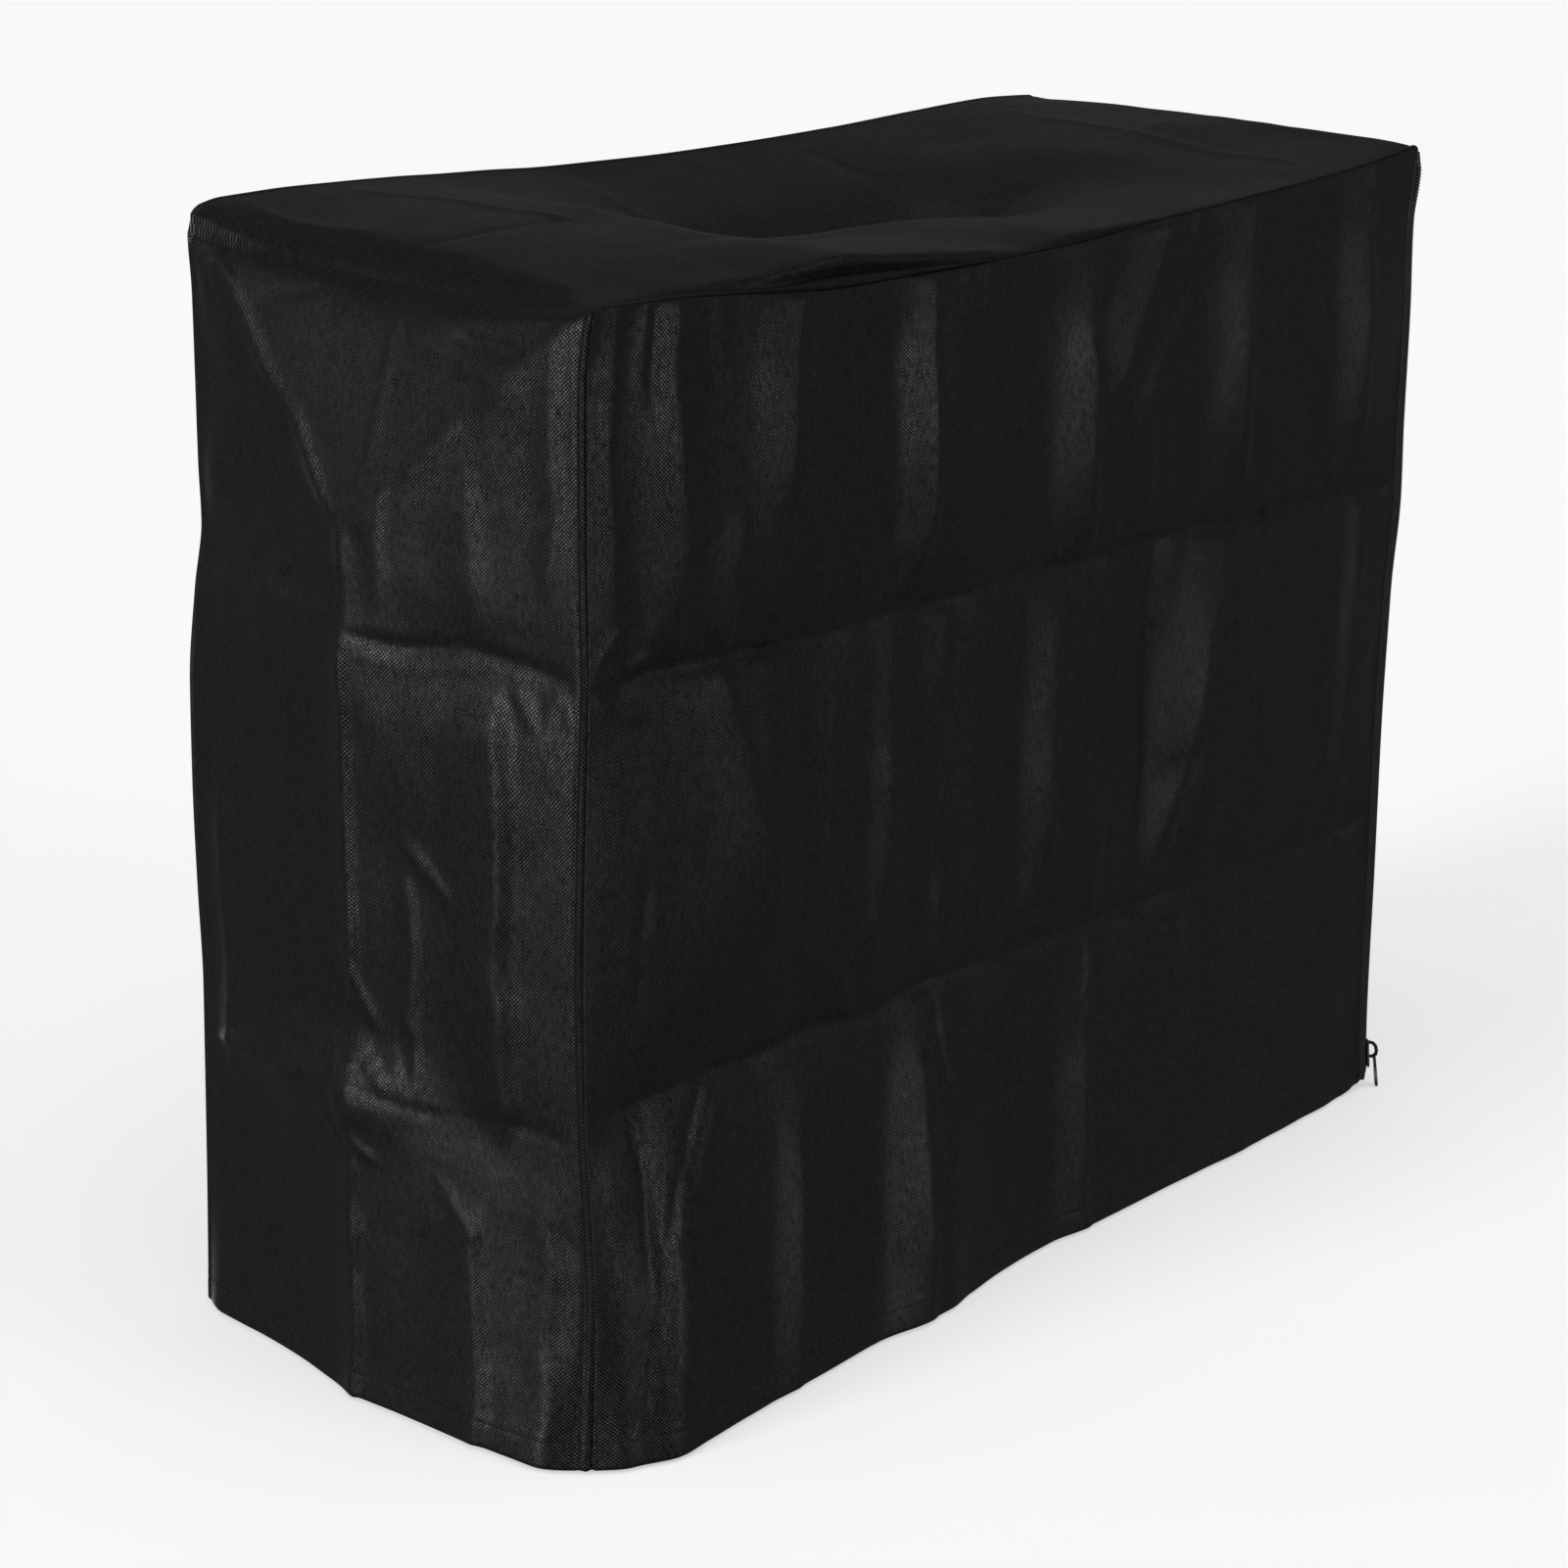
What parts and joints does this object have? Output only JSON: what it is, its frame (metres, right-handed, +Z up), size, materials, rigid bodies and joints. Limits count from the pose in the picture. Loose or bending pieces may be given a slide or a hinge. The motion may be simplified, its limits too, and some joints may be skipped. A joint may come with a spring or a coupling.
{
  "type": "computer dust cover",
  "caption": "Box-shaped cover of plain woven cloth, open underneath, with a zip up one edge, that keeps dust off a computer tower.",
  "frame": {"origin": "the mount under the top cloth, at the middle of the cover, where the top's sag is deepest", "axes": "+X runs along the front panel towards the zip, the front panel faces -Y, +Z is up"},
  "size_m": [0.5429, 0.2391, 0.4426],
  "materials": {
    "cloth": "matt plain weave, faintly glinting",
    "tape": "matt",
    "nylon": "satin",
    "black_metal": "satin",
    "steel": "polished"
  },
  "bodies": {
    "root": {"gusset_strip": "cloth", "front_panel": "cloth", "back_panel": "cloth", "zip_tape_front": "tape", "zip_tape_side": "tape", "zip_teeth": "nylon", "zip_slider": "black_metal", "zip_pull": "steel"}
  },
  "joints": []
}
